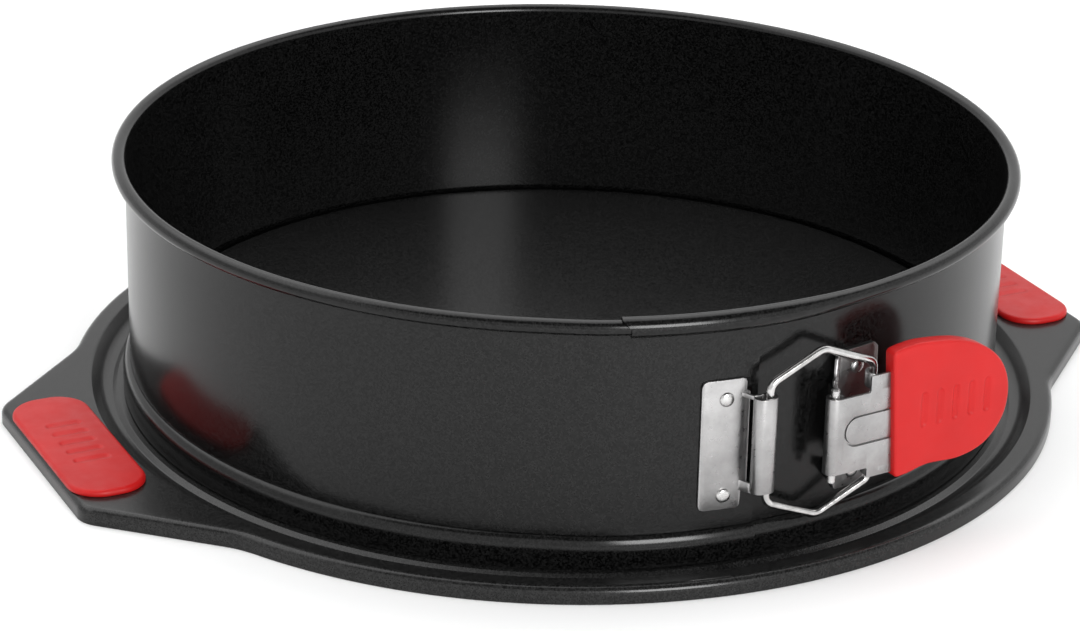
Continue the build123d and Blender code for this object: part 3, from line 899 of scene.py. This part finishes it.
def make_lever(material):
    curl_run = CURL * math.radians(CURL_TURN)
    start_angle = math.radians(-90 - CURL_TURN)
    start = (CURL * math.cos(start_angle), CURL * math.sin(start_angle))
    path = PlanPath(start, -CURL_TURN, [(curl_run, CURL_TURN), (60, STRAIGHT)])
    wing, end = curl_run + WING_START, curl_run + WING_END
    slot = curl_run + SLOT_START
    face = rounded(
        [
            (0, LEVER_LOW_Z, 0),
            (wing, LEVER_LOW_Z, 0.6),
            (wing, WING_LOW_Z, 0.5),
            (end, WING_LOW_Z, 0),
            (end, SLOT_LOW_Z, 0),
            (slot, SLOT_LOW_Z, SLOT_ROUND),
            (slot, SLOT_HIGH_Z, SLOT_ROUND),
            (end, SLOT_HIGH_Z, 0),
            (end, WING_HIGH_Z, 0),
            (wing, WING_HIGH_Z, 0.5),
            (wing, LEVER_HIGH_Z, 0.6),
            (0, LEVER_HIGH_Z, 0),
        ]
    )
    tongue = rounded(
        [
            (end, SLOT_LOW_Z + SLOT_GAP, 0),
            (slot + SLOT_GAP, SLOT_LOW_Z + SLOT_GAP, SLOT_TONGUE_ROUND),
            (slot + SLOT_GAP, SLOT_HIGH_Z - SLOT_GAP, SLOT_TONGUE_ROUND),
            (end, SLOT_HIGH_Z - SLOT_GAP, 0),
        ]
    )
    # a thin sheet behind the face closes the line that is cut round the tongue
    backing_start = curl_run + BACKING_INSET
    backing_low, backing_high = LEVER_LOW_Z + BACKING_INSET, LEVER_HIGH_Z - BACKING_INSET
    backing = [
        (backing_start, backing_low),
        (end, backing_low),
        (end, backing_high),
        (backing_start, backing_high),
    ]
    inner_seat = Seat(FULCRUM_RADIUS - BACKING_STEP, FULCRUM_ANGLE)
    parts = [
        bent_sheet("lever_face", face, LEVER_SHEET, path, lever_seat, material, bevel=0.1),
        bent_sheet("lever_tongue", tongue, LEVER_SHEET, path, lever_seat, material, bevel=0.12),
        bent_sheet("lever_backing", backing, BACKING_SHEET, path, inner_seat, material, bevel=0.05),
    ]
    # the wing's two left-hand corners are rolled inward round the ends of the wire
    curl_path = PlanPath(
        (WING_END, -CURL),
        180,
        [(WING_END - BAIL_PIVOT[0], STRAIGHT), (math.pi * WIRE_CURL, -180), (1.2, STRAIGHT)],
    )
    roll_end = curl_path.length
    for low, high in ((LEVER_HIGH_Z + 0.3, WING_HIGH_Z - 0.2), (WING_LOW_Z + 0.2, LEVER_LOW_Z - 0.3)):
        strip = [(WIRE_CURL_START, low), (roll_end, low), (roll_end, high), (WIRE_CURL_START, high)]
        parts.append(
            bent_sheet("wing_roll", strip, LEVER_SHEET, curl_path, lever_seat, material, bevel=0.1)
        )
    lever = joined(parts, "lever")
    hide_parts("latch_lever")
    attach(lever, "lever")


# ---- the lever's grip -----------------------------------------------------------------------------
GRIP_FRONT, GRIP_BACK = 4.5, -0.3
GRIP_CORNERS = ((15.9, 59.5), (18.6, 21.4))
GRIP_CURVE = (
    (19.5, 60.2), (25.8, 60.5), (37.9, 58.8), (47.0, 55.2), (53.6, 49.4), (56.7, 41.5), (55.6, 32.6),
    (49.8, 25.6), (41.0, 22.8), (30.0, 23.2), (23.0, 21.9),
)
GRIP_EDGE = 0.9
GRIP_CORNER = 1.4
GRIP_CENTRE = (37.0, 40.5)
GRIP_MARK_PLACE = (38.0, 40.5)
GRIP_GROOVES = (5.4, 5, 4.2, 1.2)                # spacing, count, half length and half width
GRIP_GROOVE_DEPTH = 0.5
GRIP_DOME = 0.2


def through(knots, steps=14):
    """A smooth line through the knots."""
    knots = np.array(knots, float)
    knots = [2 * knots[0] - knots[1], *knots, 2 * knots[-1] - knots[-2]]
    line = []
    for before, start, end, after in zip(knots, knots[1:], knots[2:], knots[3:]):
        square = 2 * before - 5 * start + 4 * end - after
        cube = 3 * start - before - 3 * end + after
        for share in np.linspace(0, 1, steps, endpoint=False):
            line.append(start + 0.5 * share * (end - before + share * (square + share * cube)))
    return np.array([*line, knots[-2]])


def make_grip(material):
    curve = [(x, z, 0) for x, z in through(GRIP_CURVE)]
    top_corner, low_corner = ((*corner, GRIP_CORNER) for corner in GRIP_CORNERS)
    outline = rounded([top_corner, *curve, low_corner], steps=10)[::-1]
    closed = np.vstack([outline, outline[:1]])
    steps = np.linalg.norm(np.diff(closed, axis=0), axis=1)
    distance = np.concatenate([[0], np.cumsum(steps)])
    even = np.linspace(0, distance[-1], 300, endpoint=False)
    edge = np.stack([np.interp(even, distance, closed[:, k]) for k in (0, 1)], axis=1)
    ahead = np.roll(edge, -1, axis=0) - np.roll(edge, 1, axis=0)
    ahead /= np.linalg.norm(ahead, axis=1)[:, None]
    out = np.stack([ahead[:, 1], -ahead[:, 0]], axis=1)
    centre = np.array(GRIP_CENTRE)
    inset = edge - GRIP_EDGE * out
    rows = []

    def layer(points, depth):
        depths = np.broadcast_to(depth, len(points))
        rows.append([lever_seat.world(x, -y, z) for (x, z), y in zip(points, depths)])

    ring_count = 44
    for ring in range(1, ring_count + 1):
        share = ring / ring_count
        spots = centre + share * (inset - centre)
        mark = grip_mark(*(spots - GRIP_MARK_PLACE).T, *GRIP_GROOVES)
        layer(spots, GRIP_FRONT - GRIP_GROOVE_DEPTH * mark - GRIP_DOME * share**6)
    front = GRIP_FRONT - GRIP_DOME
    for turn in np.linspace(0, math.pi / 2, 7)[1:]:
        step, drop = GRIP_EDGE * (1 - math.sin(turn)), GRIP_EDGE * (1 - math.cos(turn))
        layer(edge - step * out, front - drop)
    for turn in np.linspace(0, math.pi / 2, 7):
        step, rise = GRIP_EDGE * (1 - math.cos(turn)), GRIP_EDGE * (1 - math.sin(turn))
        layer(edge - step * out, GRIP_BACK + rise)
    for share in (0.7, 0.3, 1 / ring_count):
        layer(centre + share * (inset - centre), GRIP_BACK)
    faces = capped_faces(len(rows), len(edge))
    grip = new_object("grip", np.concatenate(rows), faces, material, sharp_angle=60)
    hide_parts("lever_grip")
    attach(grip, "lever")


# ---- the bracket and its pin ----------------------------------------------------------------------
BRACKET_SHEET, BRACKET_GAP = 0.85, 0.02
BRACKET_START, BRACKET_END = -75.4, -81.3
BRACKET_LOW_Z, BRACKET_HIGH_Z = 16.0, 57.5
BRACKET_CHAMFER = 1.4
BRACKET_FLANGE = ((1.6, 40), (3.6, 12), (1.2, -60))   # the runs from the plate out to the knuckles
BRACKET_RIVET_ANGLE, BRACKET_RIVETS_Z = -78.7, (52.0, 20.5)
KNUCKLE_LOW_Z, KNUCKLE_HIGH_Z = (23.0, 25.4), (49.4, 51.4)
PIN_RADIUS, PIN_END_RADIUS, PIN_LENGTH = 1.25, 0.9, 28.0


def make_bracket(material, rivet_material):
    middle = INNER_SEAT + BRACKET_SHEET / 2 + BRACKET_GAP
    lag = math.radians(BRACKET_START - FULCRUM_ANGLE)
    start = (middle * math.sin(lag), FULCRUM_RADIUS - middle * math.cos(lag))
    plate_turn = BRACKET_END - BRACKET_START
    plate_run = -middle * math.radians(plate_turn)
    path = PlanPath(start, 180 + math.degrees(lag), [(plate_run, plate_turn), *BRACKET_FLANGE])
    flange, end = plate_run + 0.9, path.length
    (knuckle_low, knuckle_low_top), (knuckle_high_low, knuckle_high) = KNUCKLE_LOW_Z, KNUCKLE_HIGH_Z
    outline = rounded(
        [
            (0.0, BRACKET_LOW_Z + BRACKET_CHAMFER, 0.3),
            (BRACKET_CHAMFER, BRACKET_LOW_Z, 0.3),
            (flange - 1, BRACKET_LOW_Z, 1.0),
            (flange + 0.6, BRACKET_LOW_Z + 3.0, 2.0),
            (flange + 4.4, knuckle_low - 0.2, 1.5),
            (end, knuckle_low, 0.2),
            (end, knuckle_low_top, 0.2),
            (flange + 1.2, knuckle_low_top + 0.2, 1.0),
            (flange + 1.2, knuckle_high_low - 0.2, 1.0),
            (end, knuckle_high_low, 0.2),
            (end, knuckle_high, 0.2),
            (flange + 4.4, knuckle_high + 0.2, 3.0),
            (flange + 1.6, BRACKET_HIGH_Z - 1.1, 1.0),
            (flange - 1, BRACKET_HIGH_Z, 0.6),
            (BRACKET_CHAMFER, BRACKET_HIGH_Z, 0.3),
            (0.0, BRACKET_HIGH_Z - BRACKET_CHAMFER, 0.3),
        ],
        steps=4,
    )
    bracket = bent_sheet("bracket", outline, BRACKET_SHEET, path, lever_seat, material)
    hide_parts("latch_bracket")
    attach(bracket, "band_right")
    rivets(
        "bracket_rivet_heads",
        "bracket_rivets",
        "band_right",
        BRACKET_RIVET_ANGLE,
        middle + BRACKET_SHEET / 2,
        BRACKET_RIVETS_Z,
        rivet_material,
    )
    base = Vector(lever_seat.world(0, 0, knuckle_low))
    profile = [
        (PIN_END_RADIUS, 0),
        (PIN_RADIUS, 0.35),
        (PIN_RADIUS, PIN_LENGTH - 0.4),
        (PIN_END_RADIUS, PIN_LENGTH),
    ]
    pin = lathe("pin", base, (0, 0, 1), profile, rivet_material)
    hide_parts("lever_pivot_pin")
    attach(pin, "band_right")


# ---- the wire bail --------------------------------------------------------------------------------
WIRE_RADIUS = 1.15
BAIL_MIDDLE_Z = 37.8
BAIL_PEAK, BAIL_PEAK_REACH = 24.8, 16.6
BAIL_SHOULDER = 17.6
BAIL_TOP_END, BAIL_LOW_END = 6.4, 4.6            # how far the wire's ends run back towards each other
BAIL_LEG_BEND, BAIL_PEAK_BEND, BAIL_END_BEND = 3.6, 4.5, 2.4
WIRE_SIDES = 20


def make_bail(material):
    leg = 1000 * Vector(joints["bail_swing"]["pos_m"])
    pivot = Vector(lever_seat.world(BAIL_PIVOT[0], BAIL_PIVOT[1], 0))
    reach_vector = Vector((pivot.x - leg.x, pivot.y - leg.y, 0))
    reach, along = reach_vector.length, reach_vector.normalized()
    high, low = BAIL_MIDDLE_Z + BAIL_SHOULDER, BAIL_MIDDLE_Z - BAIL_SHOULDER
    line = rounded(
        [
            (reach, high - BAIL_TOP_END, 0),
            (reach, high, BAIL_END_BEND),
            (BAIL_PEAK_REACH, BAIL_MIDDLE_Z + BAIL_PEAK, BAIL_PEAK_BEND),
            (0, high, BAIL_LEG_BEND),
            (0, low, BAIL_LEG_BEND),
            (BAIL_PEAK_REACH, BAIL_MIDDLE_Z - BAIL_PEAK, BAIL_PEAK_BEND),
            (reach, low, BAIL_END_BEND),
            (reach, low + BAIL_LOW_END, 0),
        ],
        steps=10,
    )
    ahead = np.gradient(line, axis=0)
    rows = []
    side = along.cross(Vector((0, 0, 1)))
    for (s, z), (ds, dz) in zip(line, ahead):
        forward = (along * ds + Vector((0, 0, dz))).normalized()
        across = forward.cross(side)
        middle = Vector((leg.x, leg.y, 0)) + along * s + Vector((0, 0, z))
        for k in range(WIRE_SIDES):
            turn = 2 * math.pi * k / WIRE_SIDES
            rows.append(middle + WIRE_RADIUS * (side * math.cos(turn) + across * math.sin(turn)))
    bail = new_object("bail", rows, capped_faces(len(line), WIRE_SIDES), material, sharp_angle=60)
    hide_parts("wire_bail")
    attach(bail, "bail")


# ---- everything -----------------------------------------------------------------------------------
make_camera()
make_stage()
band_coating = coated_steel(
    "band_coating", (0.0002, 0.0002, 0.0002), (0.008, 0.008, 0.008), shine=0.28, smooth=0.17, rough=0.22
)
tray_coating = coated_steel(
    "tray_coating", (0.004, 0.004, 0.004), (0.016, 0.016, 0.016), shine=0.31, smooth=0.18, rough=0.24
)
# the pads use the grip's silicone painted lighter: painted light that makes up for how light falls on
# the pads, not a different rubber
pad_red_painted_lighter = silicone("pad_silicone_painted_lighter", (0.43, 0.005, 0.005), (0.50, 0.008, 0.008))
grip_red = silicone("grip_silicone", (0.40, 0.004, 0.004), (0.47, 0.007, 0.007))
steel = stamped_steel("latch_steel")
rivet_metal = bright_steel("rivet_steel", smooth=0.20, rough=0.34, dent=0.03)
wire_metal = bright_steel("wire_steel", smooth=0.12, rough=0.22, dent=0.01)

make_band(band_coating)
make_tray(tray_coating)
make_pad("left_handle_pad", "left", pad_red_painted_lighter)
make_pad("right_handle_pad", "right", pad_red_painted_lighter)
make_keeper(steel, rivet_metal)
make_lever(steel)
make_grip(grip_red)
make_bracket(steel, rivet_metal)
make_bail(wire_metal)
